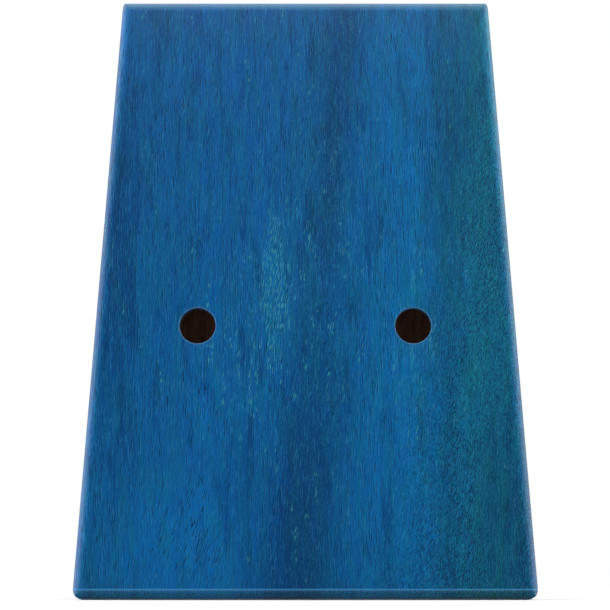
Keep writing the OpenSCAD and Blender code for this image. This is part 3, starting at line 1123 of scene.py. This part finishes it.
def tines():
    """Seventeen tines, each one piece from its held tail to its curled tip."""
    for number in range(1, TINE_COUNT + 1):
        name, grid, start, end = tine(number)
        tail, reed = name + "_tail", name + "_reed"
        bending = (tail, reed, start * MM, end * MM)
        patches = [(grid, 0)]
        make_piece(name, None, [tail, reed], patches, [TINE_STEEL], blend=bending)


back_panel()
soundboard()
rails()
bridge()
rod("front_rod", "front_saddle", FRONT_SADDLE, SADDLE_RADIUS, front_high[0])
rod("rear_rod", "rear_saddle", REAR_SADDLE, SADDLE_RADIUS, rear_high[0])
pressure_bar()
clamp_screws()
tines()


def refinish(node, finish):
    """Gives a CAD node that stays as it is a detailed finish."""
    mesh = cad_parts[node].data
    mesh.materials.clear()
    mesh.materials.append(finish)


refinish("clamp_block", BLOCK_WOOD)
refinish("clamp_inserts", BRASS)


# ---- floor, light and camera ----

FLOOR_REACH = 9000.0
PALE_FLOOR = (0.9, 0.9, 0.9, 1.0)
CLOUDED_FLOOR = (0.873, 0.873, 0.873, 1.0)
WHITE = (1.0, 1.0, 1.0, 1.0)
BELOW_HORIZON = 0.26
DIM_UP_TO = -0.36
WHITE_FROM = 0.02
CARD_FOOT = -1000.0
CARD_TOP = 1000.0
SENSOR = 36.0
LENS = 86.2
LENS_SHIFT = (-0.0006, -0.0098)
EYE_BEHIND = 433.0
EYE_HEIGHT = 3.0
EYE_PITCH = 11.25


def stage_sheet(name, grid, finish):
    """A sheet of the stage, from a grid of points in millimetres."""
    mesh = bpy.data.meshes.new(name)
    mesh.from_pydata(grid.reshape(-1, 3) * MM, [], grid_faces(*grid.shape[:2]))
    mesh.materials.append(finish)
    sheet = place_object(name, mesh)
    return sheet


def floor():
    """A wide, flat, pale floor with a trace of unevenness: z = 0."""
    across = np.linspace(-FLOOR_REACH, FLOOR_REACH, 37)
    x, y = np.meshgrid(across, across, indexing="ij")
    grid = np.stack([x, y, np.zeros_like(x)], axis=-1)
    finish = Finish("pale_floor")
    cloud = finish.noise(finish.place, (300, 300, 300), 2.0)
    shade = finish.mix(cloud, PALE_FLOOR, CLOUDED_FLOOR)
    finish.surface(Base_Color=shade, Roughness=0.8, Specular_IOR_Level=0.0)
    sheet = stage_sheet("floor", grid, finish.material)
    sheet.visible_glossy = False


def studio_card(name, y, reach, low, top, brighten):
    """An upright card that only gloss sees: dim in its middle, bright at its sides and top.

    Its glow is 1 - (1 - up(z)) (1 - out(x, z)). brighten lists up(z), and its second entry
    is the height where the fade at the foot of the card ends.
    """
    across = np.linspace(-reach, reach, 3)
    up = np.linspace(low, top, 3)
    x, z = np.meshgrid(across, up, indexing="ij")
    finish = Finish(name)
    place_x, _, place_z = finish.place
    out = finish.rise(abs(place_x), reach * 0.2, reach)
    out = out * finish.rise(place_z, low, brighten[1][0])
    stops = [((height - low) / (top - low), (glow, glow, glow, 1.0)) for height, glow in brighten]
    glow = finish.ramp((place_z - low) / (top - low), stops, "LINEAR")
    colour = finish.mix(out, glow, WHITE)
    shader = finish.node("Emission", inputs={"Color": colour, "Strength": 1.0})
    finish.node("OutputMaterial", inputs={0: shader}, output=None)
    sheet = stage_sheet(name, np.stack([x, np.full_like(x, y), z], axis=-1), finish.material)
    sheet.visible_camera = False
    sheet.visible_diffuse = False
    sheet.visible_shadow = False
    sheet.visible_transmission = False


def surround():
    """An even white surround that is dimmer below the horizon, where only gloss sees it."""
    world = bpy.data.worlds.new("white_surround")
    bpy.context.scene.world = world
    nodes = Nodes(world)
    way = nodes.node("TexCoord", output="Generated")
    up = nodes.node("SeparateXYZ", inputs={0: way}, output="Z")
    glow = nodes.rise(up, DIM_UP_TO, WHITE_FROM, BELOW_HORIZON, 1.0)
    shader = nodes.node("Background", inputs={"Color": WHITE, "Strength": glow})
    nodes.node("OutputWorld", inputs={0: shader}, output=None)


def soft_sun(name, toward, strength, spread):
    """A broad soft light from far away, shining toward a direction. spread is in degrees."""
    light = bpy.data.lights.new(name, "SUN")
    light.energy = strength
    light.angle = math.radians(spread)
    lamp = place_object(name, light)
    lamp.rotation_euler = Vector(toward).to_track_quat("-Z", "Y").to_euler()


def camera():
    """A long lens just above the floor, pitched up the back."""
    lens = bpy.data.cameras.new("camera")
    lens.sensor_width = SENSOR
    lens.lens = LENS
    lens.shift_x, lens.shift_y = LENS_SHIFT
    lens.clip_start = 0.01
    lens.dof.use_dof = False
    eye = place_object("camera", lens)
    eye.location = (0.0, (back_low[1] - EYE_BEHIND) * MM, EYE_HEIGHT * MM)
    eye.rotation_euler = (math.radians(90 + EYE_PITCH), 0.0, 0.0)
    bpy.context.scene.camera = eye


floor()
surround()
soft_sun("high_light", (0.25, 0.1, -1.0), strength=0.8, spread=60.0)
soft_sun("left_light", (-1.0, 0.0, -0.15), strength=1.1, spread=55.0)
soft_sun("right_light", (1.0, 0.0, -0.15), strength=1.1, spread=55.0)
studio_card("back_card", y=-1500.0, reach=1800.0, low=CARD_FOOT, top=CARD_TOP, brighten=[
    (CARD_FOOT, BELOW_HORIZON),
    (-650, 0.8),
    (-400, 0.8),
    (-60, 0.03),
    (0, 0.01),
    (300, 0.02),
    (400, 0.06),
    (600, 0.16),
    (700, 0.28),
    (800, 0.5),
    (CARD_TOP, 1.0),
])
camera()
bpy.context.scene.view_settings.view_transform = "Standard"
